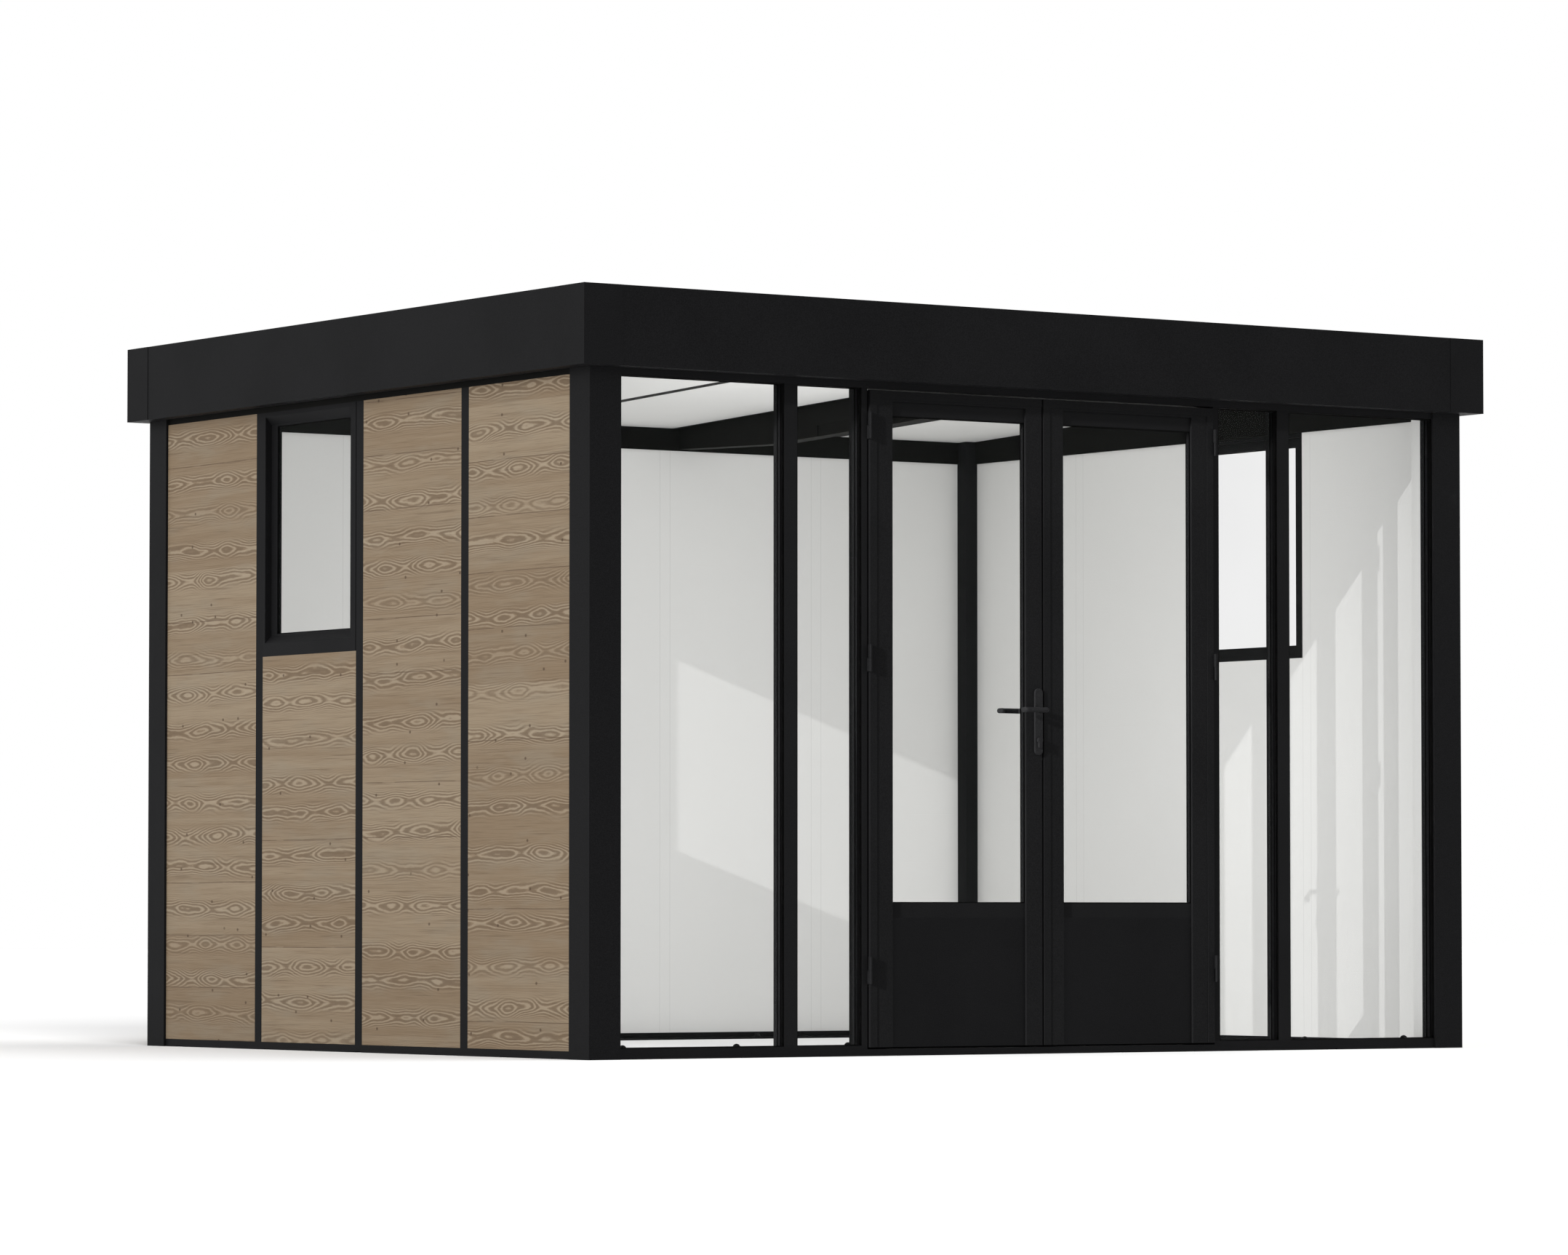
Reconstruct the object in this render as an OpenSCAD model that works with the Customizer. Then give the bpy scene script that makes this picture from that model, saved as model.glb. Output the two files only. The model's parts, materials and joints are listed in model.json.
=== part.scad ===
// Garden office pod: a flat-roofed cabin with a glazed front, a pair of
// outward-opening doors, clad side walls with one high window each and a deep fascia.
// Millimetres. +X runs along the front, +Y towards the rear, +Z up.
// The origin is on the ground in the middle of the plan.

/* [Walls] */
// Width over the corner posts
wall_w = 3316; // [3000:1:4200]
// Depth over the corner posts
wall_d = 2668; // [2400:1:3400]
// Side of the square corner posts
post_size = 110; // [95:1:140]
// Setback of panels, rails and glazing frames behind the post faces
recess = 8; // [4:1:14]
// Thickness of the wall panels
wall_t = 52; // [40:1:65]
// Width of the joint profiles between the panels
joint_w = 43; // [30:1:60]
// Number of panels along each side wall
side_bays = 4; // [3:1:5]
// Number of panels along the rear wall
rear_bays = 5; // [4:1:6]
// Height of the base rails
base_h = 24; // [18:1:40]
// Height of the panel tops, where the head beams start
wall_h = 2015; // [1960:1:2400]
// Width of the head beams
beam_t = 60; // [55:1:66]
// Height of the rear head beam
beam_h = 76; // [60:1:100]
// Width of the drain notches under the base rails
notch_w = 36; // [20:1:60]
// Height of the drain notches
notch_h = 3; // [2:0.5:6]
// Distance from one drain notch to the next
notch_pitch = 283; // [200:1:400]

/* [Anchoring] */
// Reach of the anchor flange into the room
flange_w = 40; // [30:1:60]
// Thickness of the anchor flange
flange_t = 6; // [4:1:10]
// Radius of the anchor holes
anchor_r = 5; // [4:0.5:8]
// Distance of the outermost anchor holes from the posts
anchor_end = 62; // [40:1:100]
// Distance from one anchor hole to the next
anchor_pitch = 404; // [300:1:420]
// Number of anchor holes on each half of a flange
anchor_count = 3; // [1:1:3]

/* [Roof] */
// Height of the fascia
fascia_h = 238; // [225:1:280]
// Distance of the fascia's lower edge above the panel tops
fascia_lift = 17; // [5:1:40]
// Distance of the fascia boards in front of the post faces
fascia_out = 53; // [40:1:80]
// Thickness of the fascia boards
fascia_t = 20; // [12:1:30]
// Thickness of the soffit under the overhang
soffit_t = 8; // [4:1:16]
// Thickness of the fascia corner covers
cover_t = 1.5; // [1:0.5:4]
// Length of each leg of a corner cover
cover_leg = 136; // [90:1:200]
// Slope angle of the roof, which falls to the rear
roof_angle = 2; // [1:0.1:2.3]
// Thickness of the roof panels
roof_t = 60; // [40:1:70]
// Distance of the first roof joint from the left post face
roof_first = 708; // [600:1:760]
// Distance from one roof joint to the next
roof_pitch = 656; // [600:1:680]
// Number of roof joints
roof_joints = 4; // [3:1:4]
// Roof joint that the rafter hangs under, counted from the left
rafter_joint = 3; // [2:1:3]
// Width of the rafter
rafter_w = 60; // [45:1:80]
// Depth of the rafter below the ceiling
rafter_h = 70; // [50:1:90]
// Depth of the rafter's lower box
rafter_box_h = 37; // [20:1:50]
// Length of the rafter's lower box, from the front head beam
rafter_box_len = 1690; // [1000:1:2100]
// Length of the rafter's deep part behind the lower box
rafter_deep_len = 280; // [100:1:400]
// Setback of the lower box from the rafter's sides
rafter_box_set = 4; // [2:1:10]

/* [Front glazing] */
// Width over the door frame
door_w = 1362; // [1200:1:1500]
// Width of each narrow pane beside the door
side_pane_w = 235; // [150:1:280]
// Face width of the mullions
mullion_w = 46.5; // [35:0.5:60]
// Depth of the glazing frames behind the panel face line
frame_depth = 58; // [50:1:66]
// Depth of the glass behind the post faces
glass_set = 27; // [20:1:36]
// Thickness of the glazing units
glass_t = 16; // [8:1:24]
// Height of the sill under the fixed glass
sill_z = 31.5; // [28:0.5:45]
// Height of the front rail under the doors
threshold_z = 21; // [15:1:24]
// Distance of the top of the front openings below the panel tops
head_drop = 3; // [0:1:30]

/* [Doors] */
// Face width of the door jambs
jamb_w = 20.5; // [14:0.5:30]
// Gap between a leaf and the frame
leaf_gap = 5.5; // [5:0.5:8]
// Gap between the two leaves
meeting_gap = 6.5; // [6:0.5:10]
// Shift of the meeting line towards the left
meeting_shift = 8; // [0:1:20]
// Thickness of the leaves
leaf_t = 56; // [48:1:60]
// Width of the stile on the hinge side
hinge_stile = 84; // [70:1:110]
// Width of the left leaf's meeting stile
meeting_stile = 60; // [50:1:80]
// Width of the right leaf's meeting stile
cover_stile = 76; // [60:1:90]
// Height of the top rail
top_rail = 75; // [60:1:100]
// Height of the top rail's raised upper part
top_lip = 32; // [28:1:45]
// Height of the middle rail's underside
mid_rail_z = 415; // [300:1:700]
// Height of the middle rail
mid_rail = 45; // [35:1:70]
// Setback of the middle rail and the lower panel behind the stiles
panel_set = 10; // [5:1:16]
// Thickness of the lower panel
panel_t = 24; // [16:1:30]
// Depth of the door glass behind the leaf face
door_glass_set = 13; // [11:1:20]
// Distance that the door openings splay out behind the glass
bead_splay = 20; // [10:1:22]
// Width of the raised rim round a leaf
rim_w = 25; // [15:1:35]
// Height of the raised rim
rim_t = 2; // [1:0.5:4]
// Depth at which the meeting edges step back
step_depth = 20; // [15:1:30]
// Distance that the meeting edges step back
step_back = 5; // [4:1:8]

/* [Hinges and handle] */
// Radius of the hinge knuckles
knuckle_r = 5; // [4.5:0.5:6]
// Length of each hinge
hinge_len = 82; // [60:1:110]
// Radius of the hinge pins
pin_r = 2.5; // [2:0.5:3.5]
// Distance of the hinge pins in front of the post faces
pin_out = 7; // [6.5:0.5:9]
// Thickness of the hinge flaps
flap_t = 2; // [1:0.5:2]
// Height of the lower hinges
hinge_low_z = 216; // [120:1:300]
// Height of the middle hinges
hinge_mid_z = 1156; // [900:1:1300]
// Distance of the upper hinges below the leaf tops
hinge_drop = 148.5; // [120:0.5:300]
// Height of the lever's spindle
lever_z = 1050; // [950:1:1100]
// Distance of the spindle from the leaf's meeting edge
lever_backset = 16; // [15:1:24]
// Width of the handle plates
plate_w = 28; // [24:1:30]
// Height of the handle plates
plate_h = 204; // [160:1:240]
// Distance of the plate's middle below the spindle
plate_drop = 35; // [20:1:50]
// Thickness of the handle plates
plate_t = 7; // [4:0.5:9]
// Length of the lever
lever_len = 73; // [60:1:140]
// Distance of the lever's axis from the plates
lever_out = 37; // [30:1:38]
// Radius of the lever
lever_r = 8; // [6:0.5:8]
// Radius of the spindle
spindle_r = 5; // [4:0.5:6]
// Distance of the lock cylinder below the spindle
lock_drop = 92; // [72:1:100]
// Diameter of the lock cylinder's round part
lock_d = 17; // [15:0.5:18]
// Height of the lock cylinder
lock_h = 33; // [28:1:36]
// Distance of the lock cylinder in front of the plates
lock_out = 9; // [2:0.5:12]

/* [Windows] */
// Bay of the left window, counted from the front
left_window_bay = 3; // [2:1:3]
// Bay of the right window, counted from the front
right_window_bay = 2; // [2:1:3]
// Height of the windows
window_h = 774; // [500:1:1000]
// Face width of the window frame on the rear side
window_rear = 13; // [8:1:30]
// Face width of the window frame on the front side
window_front = 36; // [20:1:50]
// Face width of the window frame at the top
window_top = 14; // [8:1:40]
// Face width of the window frame at the bottom
window_bottom = 42; // [34:1:60]
// Rise of the sloping inner faces at the top and bottom of the frame
window_slope = 25; // [10:1:28]
// Width of the groove between the frame and the joint profile in front of it
window_groove = 4; // [2:1:8]
// Depth of that groove
groove_depth = 8; // [4:1:16]
// Height of the wall lining that covers the lower frame inside
lining_h = 30; // [15:1:32]
// Thickness of the wall lining
lining_t = 5; // [3:1:5]
// Setback of the sash behind the panel faces
sash_set = 22; // [12:1:28]
// Thickness of the sash
sash_t = 16; // [12:1:24]
// Width of the sash stiles
sash_side = 38; // [30:1:60]
// Height of the sash rails
sash_rail = 29; // [28:1:60]
// Thickness of the window glass
window_glass_t = 6; // [4:1:10]

/* [Hidden] */

$fn = 48;

black = [0.12, 0.12, 0.13];
dark = [0.16, 0.16, 0.17];
wood = [0.62, 0.53, 0.43];
white = [0.9, 0.9, 0.89];
clear = [0.8, 0.86, 0.86, 0.35];

half_w = wall_w / 2;
half_d = wall_d / 2;
front = -half_d;
inner = recess + wall_t;
frame_back = recess + frame_depth;

side_bay_w = (wall_d - 2 * post_size - (side_bays - 1) * joint_w) / side_bays;
rear_bay_w = (wall_w - 2 * post_size - (rear_bays - 1) * joint_w) / rear_bays;

jamb_x = door_w / 2;
leaf_x = jamb_x - jamb_w - leaf_gap;
meeting_x = -meeting_shift;
left_edge = meeting_x - meeting_gap / 2;
right_edge = meeting_x + meeting_gap / 2;
head_z = wall_h - head_drop;
window_z = wall_h - window_h;
leaf_z0 = threshold_z + leaf_gap;
leaf_z1 = head_z - leaf_gap;
pin_x = leaf_x + leaf_gap / 2;
pin_y = front - pin_out;
hinge_heights = [hinge_low_z, hinge_mid_z, leaf_z1 - hinge_drop];
knuckle_gap = 1;
knuckle_len = (hinge_len - knuckle_gap) / 2;
pin_play = 0.05;
roof_seat = 0.02;
cut = 1;
stop_w = 14;
stop_gap = 5;

lever_x = left_edge - lever_backset;
face_y = front + rim_t;
leaf_back = front + leaf_t;
door_glass_back = front + door_glass_set + glass_t;
stop_back = front + max(frame_back, leaf_t + stop_gap + stop_w);
mullion_x = jamb_x + side_pane_w;

anchor_y = half_d - frame_back - flange_w / 2;
cover_reach = fascia_out + cover_t;
fascia_z = wall_h + fascia_lift;
total_h = fascia_z + fascia_h;

// Height of the sloping ceiling at a distance y from the middle
function ceiling_at(y) = wall_h + beam_h + tan(roof_angle) * (half_d - inner - y);

// Start of a side bay along Y and of a rear bay along X
function side_bay_y(i) = front + post_size + i * (side_bay_w + joint_w);
function rear_bay_x(i) = -half_w + post_size + i * (rear_bay_w + joint_w);

// Left edge of a roof joint, counted from 0
function roof_joint_x(i) = -half_w + roof_first + i * roof_pitch - joint_w / 2;

module block(x, y, z) {
    translate([x[0], y[0], z[0]])
        cube([x[1] - x[0], y[1] - y[0], z[1] - z[0]]);
}

// Solid between two depths y, with its outline drawn in X and Z
module upright(y) {
    translate([0, y[1], 0])
        rotate([90, 0, 0])
            linear_extrude(y[1] - y[0]) children();
}

// Solid between two places x, with its outline drawn in Y and Z
module lengthwise(x) {
    translate([x[0], 0, 0])
        rotate([90, 0, 90])
            linear_extrude(x[1] - x[0]) children();
}

module rect(a, b) {
    translate([a[0], b[0]])
        square([a[1] - a[0], b[1] - b[0]]);
}

// Solid from a height z up to its seat under the sloping ceiling
module under_roof(x, y, z) {
    lengthwise(x)
        polygon([
            [y[0], z], [y[1], z],
            [y[1], ceiling_at(y[1]) - roof_seat], [y[0], ceiling_at(y[0]) - roof_seat]
        ]);
}

// Slab between two distances above the sloping ceiling
module on_slope(x, y, lift) {
    lengthwise(x)
        polygon([
            [y[0], ceiling_at(y[0]) + lift[0]], [y[1], ceiling_at(y[1]) + lift[0]],
            [y[1], ceiling_at(y[1]) + lift[1]], [y[0], ceiling_at(y[0]) + lift[1]]
        ]);
}

// Base rails
module anchor_flange() {
    difference() {
        block([-half_w + post_size, half_w - post_size],
              [half_d - frame_back - flange_w, half_d - inner], [0, flange_t]);
        for (side = [-1, 1], i = [0 : anchor_count - 1])
            translate([side * (half_w - post_size - anchor_end - i * anchor_pitch), anchor_y, -cut])
                cylinder(r = anchor_r, h = flange_t + 2 * cut);
    }
}

// Drain notches along X, in the lower outer edge of a rail that lies at the rear
module drain_notches(rail_len) {
    count = floor((rail_len / 2 - notch_w) / notch_pitch);
    for (i = [-count : count])
        translate([i * notch_pitch, half_d - recess, 0])
            cube([notch_w, 2 * recess, 2 * notch_h], center = true);
}

module base_rail_front() {
    color(black)
        difference() {
            union() {
                block([-half_w + post_size, half_w - post_size],
                      [front + recess, front + frame_back], [0, threshold_z]);
                for (side = [0, 1])
                    mirror([side, 0, 0])
                        block([jamb_x - jamb_w, half_w - post_size],
                              [front + recess, front + frame_back], [0, sill_z]);
                block([-jamb_x + jamb_w, jamb_x - jamb_w], [leaf_back + stop_gap, stop_back], [0, sill_z]);
                mirror([0, 1, 0]) anchor_flange();
            }
            mirror([0, 1, 0]) drain_notches(wall_w - 2 * post_size);
        }
}

module base_rail_rear() {
    color(black)
        difference() {
            union() {
                block([-half_w + post_size, half_w - post_size],
                      [half_d - inner, half_d - recess], [0, base_h]);
                anchor_flange();
            }
            drain_notches(wall_w - 2 * post_size);
        }
}

module side_rail() {
    color(black)
        difference() {
            block([-half_w + recess, -half_w + inner], [front + post_size, half_d - post_size], [0, base_h]);
            translate([half_d - half_w, 0, 0])
                rotate([0, 0, 90])
                    drain_notches(wall_d - 2 * post_size);
        }
}

module base_rail_left() { side_rail(); }
module base_rail_right() { mirror([1, 0, 0]) side_rail(); }

// Corner posts
module post(y) {
    color(black)
        under_roof([-half_w, -half_w + post_size], [y, y + post_size], 0);
}

module corner_post_front_left() { post(front); }
module corner_post_front_right() { mirror([1, 0, 0]) post(front); }
module corner_post_rear_left() { post(half_d - post_size); }
module corner_post_rear_right() { mirror([1, 0, 0]) post(half_d - post_size); }

// Clad panels and the profiles between them
module side_panels(window_bay) {
    color(wood)
        for (i = [0 : side_bays - 1]) {
            y = [side_bay_y(i), side_bay_y(i) + side_bay_w];
            block([-half_w + recess, -half_w + inner], y,
                  [base_h, i == window_bay - 1 ? window_z : wall_h]);
            if (i == window_bay - 1)
                block([-half_w + inner - lining_t, -half_w + inner], y,
                      [window_z - base_h, window_z + lining_h]);
        }
}

module side_joints() {
    color(black)
        for (i = [1 : side_bays - 1])
            block([-half_w + recess, -half_w + inner],
                  [side_bay_y(i) - joint_w, side_bay_y(i)], [base_h, wall_h]);
}

module left_wall_panels() { side_panels(left_window_bay); }
module left_wall_joints() { side_joints(); }
module right_wall_panels() { mirror([1, 0, 0]) side_panels(right_window_bay); }
module right_wall_joints() { mirror([1, 0, 0]) side_joints(); }

module rear_wall_panels() {
    color(wood)
        for (i = [0 : rear_bays - 1])
            block([rear_bay_x(i), rear_bay_x(i) + rear_bay_w],
                  [half_d - inner, half_d - recess], [base_h, wall_h]);
}

module rear_wall_joints() {
    color(black)
        for (i = [1 : rear_bays - 1])
            block([rear_bay_x(i) - joint_w, rear_bay_x(i)],
                  [half_d - inner, half_d - recess], [base_h, wall_h]);
}

// Windows, drawn in the left wall
window_face = -half_w + recess;
face_edge = [window_front, window_rear, window_bottom, window_top];
slope_edge = face_edge + [0, 0, window_slope, window_slope];
sash_edge = [window_rear, window_rear, window_bottom, window_top];
glass_edge = sash_edge + [sash_side, sash_side, sash_rail, sash_rail];

// Outline of a bay's window opening, inset at its front, rear, bottom and top
module window_hole(bay, inset) {
    y = side_bay_y(bay - 1);
    rect([y + inset[0], y + side_bay_w - inset[1]], [window_z + inset[2], wall_h - inset[3]]);
}

module window_frame(bay) {
    y = side_bay_y(bay - 1);
    back = -half_w + inner;
    color(black)
        difference() {
            lengthwise([window_face, back]) window_hole(bay, [0, 0, 0, 0]);
            hull() {
                lengthwise([window_face - cut, window_face]) window_hole(bay, face_edge);
                lengthwise([window_face + sash_set, window_face + sash_set + cut])
                    window_hole(bay, slope_edge);
            }
            lengthwise([window_face + sash_set, back + cut]) window_hole(bay, sash_edge);
            block([window_face - cut, window_face + groove_depth], [y - cut, y + window_groove],
                  [window_z - cut, wall_h + cut]);
            block([back - lining_t, back + cut], [y - cut, y + side_bay_w + cut],
                  [window_z - cut, window_z + lining_h]);
        }
}

module window_sash(bay) {
    x = window_face + sash_set;
    color(dark)
        lengthwise([x, x + sash_t])
            difference() {
                window_hole(bay, sash_edge);
                window_hole(bay, glass_edge);
            }
}

module window_glass(bay) {
    x = window_face + sash_set + (sash_t - window_glass_t) / 2;
    color(clear)
        lengthwise([x, x + window_glass_t])
            window_hole(bay, glass_edge);
}

module left_window_frame() { window_frame(left_window_bay); }
module left_window_sash() { window_sash(left_window_bay); }
module left_window_glass() { window_glass(left_window_bay); }
module right_window_frame() { mirror([1, 0, 0]) window_frame(right_window_bay); }
module right_window_sash() { mirror([1, 0, 0]) window_sash(right_window_bay); }
module right_window_glass() { mirror([1, 0, 0]) window_glass(right_window_bay); }

// Head beams, which carry the roof
module head_beam_front() {
    color(black)
        under_roof([-half_w + post_size, half_w - post_size],
                   [front + recess, front + recess + beam_t], head_z);
}

module head_beam_rear() {
    color(black)
        under_roof([-half_w + post_size, half_w - post_size],
                   [half_d - recess - beam_t, half_d - recess], wall_h);
}

module side_beam() {
    color(black)
        under_roof([-half_w + recess, -half_w + recess + beam_t],
                   [front + post_size, half_d - post_size], wall_h);
}

module head_beam_left() { side_beam(); }
module head_beam_right() { mirror([1, 0, 0]) side_beam(); }

// Glazed front
module front_mullions() {
    color(black)
        for (side = [0, 1])
            mirror([side, 0, 0])
                block([mullion_x, mullion_x + mullion_w],
                      [front + recess, front + frame_back], [sill_z, head_z]);
}

// The jamb carries a stop behind the leaf
module jamb() {
    color(black) {
        block([-jamb_x, -jamb_x + jamb_w], [front + recess, front + frame_back], [sill_z, head_z]);
        block([-jamb_x, -jamb_x + jamb_w + stop_w],
              [leaf_back + stop_gap, stop_back],
              [sill_z, head_z]);
    }
}

module door_jamb_left() { jamb(); }
module door_jamb_right() { mirror([1, 0, 0]) jamb(); }

module fixed_panes() {
    color(clear) {
        block([jamb_x, mullion_x], [front + glass_set, front + glass_set + glass_t], [sill_z, head_z]);
        block([mullion_x + mullion_w, half_w - post_size],
              [front + glass_set, front + glass_set + glass_t], [sill_z, head_z]);
    }
}

module left_fixed_panes() { mirror([1, 0, 0]) fixed_panes(); }
module right_fixed_panes() { fixed_panes(); }

// Sloping bead faces behind the glass of a leaf
module bead_cut(x, z) {
    hull() {
        block(x, [door_glass_back, door_glass_back + cut], z);
        block([x[0] - bead_splay, x[1] + bead_splay], [leaf_back, leaf_back + cut],
              [z[0] - bead_splay, z[1] + bead_splay]);
    }
}

// Door leaves, each drawn between its hinge edge and its meeting edge
module leaf_frame(x, stiles) {
    difference() {
        upright([face_y, leaf_back])
            difference() {
                rect(x, [leaf_z0, leaf_z1]);
                rect([x[0] + stiles[0], x[1] - stiles[1]], [leaf_z0 - cut, mid_rail_z]);
                rect([x[0] + stiles[0], x[1] - stiles[1]], [mid_rail_z + mid_rail, leaf_z1 - top_rail]);
            }
        block([x[0] + stiles[0], x[1] - stiles[1]], [front, front + panel_set],
              [mid_rail_z - cut, leaf_z1 - top_lip]);
        bead_cut([x[0] + stiles[0], x[1] - stiles[1]], [mid_rail_z + mid_rail, leaf_z1 - top_rail]);
    }
}

// Raised rim along the top and the chosen edges of a leaf
module leaf_rim(x, edges) {
    upright([front, face_y])
        difference() {
            rect(x, [leaf_z0, leaf_z1]);
            rect([x[0] + edges[0] * rim_w, x[1] - edges[1] * rim_w], [leaf_z0 - cut, leaf_z1 - rim_w]);
        }
}

module leaf_glass(x, stiles) {
    color(clear)
        block([x[0] + stiles[0], x[1] - stiles[1]],
              [front + door_glass_set, door_glass_back],
              [mid_rail_z + mid_rail, leaf_z1 - top_rail]);
}

module leaf_panel(x, stiles) {
    color(dark)
        block([x[0] + stiles[0], x[1] - stiles[1]],
              [front + panel_set, front + panel_set + panel_t], [leaf_z0, mid_rail_z]);
}

// Notch along the back of a meeting edge, so that each leaf swings past the other
module meeting_step(x) {
    block(x, [front + step_depth, leaf_back + cut], [leaf_z0 - cut, leaf_z1 + cut]);
}

// Cylinder along Y between two depths, on the spindle's axis
module spindle_rod(r, y) {
    translate([lever_x, y[0], lever_z])
        rotate([-90, 0, 0])
            cylinder(r = r, h = y[1] - y[0]);
}

left_x = [-leaf_x, left_edge];
left_stiles = [hinge_stile, meeting_stile];
right_x = [right_edge, leaf_x];
right_stiles = [cover_stile, hinge_stile];

module left_leaf() {
    color(dark)
        difference() {
            union() {
                leaf_frame(left_x, left_stiles);
                leaf_rim(left_x, [1, 0]);
            }
            meeting_step([left_edge - step_back, left_edge + cut]);
            spindle_rod(spindle_r + pin_play, [front - cut, leaf_back + cut]);
        }
}

module left_leaf_glass() { leaf_glass(left_x, left_stiles); }
module left_leaf_panel() { leaf_panel(left_x, left_stiles); }

module right_leaf() {
    color(dark)
        difference() {
            union() {
                leaf_frame(right_x, right_stiles);
                leaf_rim(right_x, [1, 1]);
            }
            meeting_step([right_edge - cut, right_edge + step_back]);
        }
}

module right_leaf_glass() { leaf_glass(right_x, right_stiles); }
module right_leaf_panel() { leaf_panel(right_x, right_stiles); }

// Lift-off hinges: the leaf's knuckle turns on a pin that stands on the frame's knuckle
module hinge_flap(x, z) {
    block(x, [pin_y, front + leaf_t / 2], z);
}

module leaf_hinges() {
    color(black)
        for (z = hinge_heights)
            difference() {
                union() {
                    translate([-pin_x, pin_y, z + hinge_len - knuckle_len])
                        cylinder(r = knuckle_r, h = knuckle_len);
                    hinge_flap([-leaf_x - flap_t, -leaf_x], [z + hinge_len - knuckle_len, z + hinge_len]);
                }
                translate([-pin_x, pin_y, z])
                    cylinder(r = pin_r + pin_play, h = hinge_len + cut);
            }
}

module frame_hinges() {
    color(black)
        for (z = hinge_heights) {
            translate([-pin_x, pin_y, z]) {
                cylinder(r = knuckle_r, h = knuckle_len);
                cylinder(r = pin_r, h = hinge_len);
            }
            hinge_flap([-jamb_x + jamb_w, -jamb_x + jamb_w + flap_t], [z, z + knuckle_len]);
        }
}

module left_leaf_hinges() { leaf_hinges(); }
module right_leaf_hinges() { mirror([1, 0, 0]) leaf_hinges(); }
module frame_hinges_left() { frame_hinges(); }
module frame_hinges_right() { mirror([1, 0, 0]) frame_hinges(); }

// Handle plates on both faces of the left leaf
module handle_plate(y) {
    upright(y)
        difference() {
            union() {
                for (end = [-1, 1])
                    translate([lever_x, lever_z - plate_drop + end * (plate_h - plate_w) / 2])
                        circle(d = plate_w);
                rect([lever_x - plate_w / 2, lever_x + plate_w / 2],
                     [lever_z - plate_drop - (plate_h - plate_w) / 2,
                      lever_z - plate_drop + (plate_h - plate_w) / 2]);
            }
            translate([lever_x, lever_z]) circle(r = spindle_r + pin_play);
        }
}

// Profile of the lock cylinder: a round part over a narrower foot
module lock_profile() {
    translate([lever_x, lever_z - lock_drop]) {
        circle(d = lock_d);
        foot_w = lock_d * 0.6;
        translate([-foot_w / 2, lock_d / 2 - lock_h + foot_w / 2])
            square([foot_w, lock_h - lock_d / 2 - foot_w / 2]);
        translate([0, lock_d / 2 - lock_h + foot_w / 2]) circle(d = foot_w);
    }
}

module handle_plates() {
    outer = face_y - plate_t;
    inside = leaf_back + plate_t;
    color(black) {
        handle_plate([outer, face_y]);
        handle_plate([leaf_back, inside]);
        upright([outer - lock_out, outer]) lock_profile();
        upright([inside, inside + lock_out]) lock_profile();
    }
}

// Lever with a neck, a round bar towards the hinges and a short return at its end
module lever_arm(y, plate_y) {
    spindle_rod(lever_r, [min(y, plate_y), max(y, plate_y)]);
    for (x = [lever_x, lever_x - lever_len])
        translate([x, y, lever_z]) sphere(r = lever_r);
    translate([lever_x - lever_len, y, lever_z])
        rotate([0, 90, 0])
            cylinder(r = lever_r, h = lever_len);
    translate([lever_x - lever_len, y, lever_z])
        rotate([y < plate_y ? -90 : 90, 0, 0]) {
            cylinder(r = lever_r, h = lever_r * 2);
            translate([0, 0, lever_r * 2]) sphere(r = lever_r);
        }
}

module door_lever() {
    neck_gap = 0.5;
    outer_plate = face_y - plate_t - neck_gap;
    inner_plate = leaf_back + plate_t + neck_gap;
    color(dark) {
        spindle_rod(spindle_r, [outer_plate - lever_out, inner_plate + lever_out]);
        lever_arm(outer_plate - lever_out, outer_plate);
        lever_arm(inner_plate + lever_out, inner_plate);
    }
}

// Roof
module roof_panels() {
    edges = [
        -half_w,
        for (i = [0 : roof_joints - 1]) each [roof_joint_x(i), roof_joint_x(i) + joint_w],
        half_w
    ];
    color(white)
        for (i = [0 : roof_joints])
            on_slope([edges[2 * i], edges[2 * i + 1]], [front, half_d], [0, roof_t]);
}

module roof_joint_bars() {
    color(black)
        for (i = [0 : roof_joints - 1])
            on_slope([roof_joint_x(i), roof_joint_x(i) + joint_w], [front, half_d], [0, roof_t]);
}

module rafter() {
    x = roof_joint_x(rafter_joint - 1) + joint_w / 2;
    y = front + recess + beam_t;
    rear = half_d - recess - beam_t;
    deep = y + rafter_box_len;
    sides = [x, x + rafter_w];
    color(black) {
        on_slope(sides, [y, rear], [-rafter_h, -roof_seat]);
        on_slope([x + rafter_box_set, x + rafter_w - rafter_box_set], [y, deep],
                 [-rafter_h - rafter_box_h, -rafter_h]);
        hull() {
            on_slope(sides, [deep, deep + rafter_deep_len], [-rafter_h - rafter_box_h, -rafter_h]);
            on_slope(sides, [deep, rear], [-rafter_h - cut, -rafter_h]);
        }
    }
}

// Fascia boards with a soffit back to the post faces
module fascia_long(y_sign) {
    reach = half_w + fascia_out;
    y = half_d + fascia_out;
    color(black)
        mirror([0, y_sign < 0 ? 1 : 0, 0]) {
            block([-reach, reach], [y - fascia_t, y], [fascia_z, total_h]);
            block([-reach, reach], [half_d, y], [fascia_z, fascia_z + soffit_t]);
        }
}

module fascia_short() {
    x = half_w + fascia_out;
    y = half_d + fascia_out - fascia_t;
    color(black) {
        block([-x, -x + fascia_t], [-y, y], [fascia_z + soffit_t, total_h]);
        block([-x, -half_w], [front, half_d], [fascia_z, fascia_z + soffit_t]);
    }
}

module fascia_front() { fascia_long(-1); }
module fascia_rear() { fascia_long(1); }
module fascia_left() { fascia_short(); }
module fascia_right() { mirror([1, 0, 0]) fascia_short(); }

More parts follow.
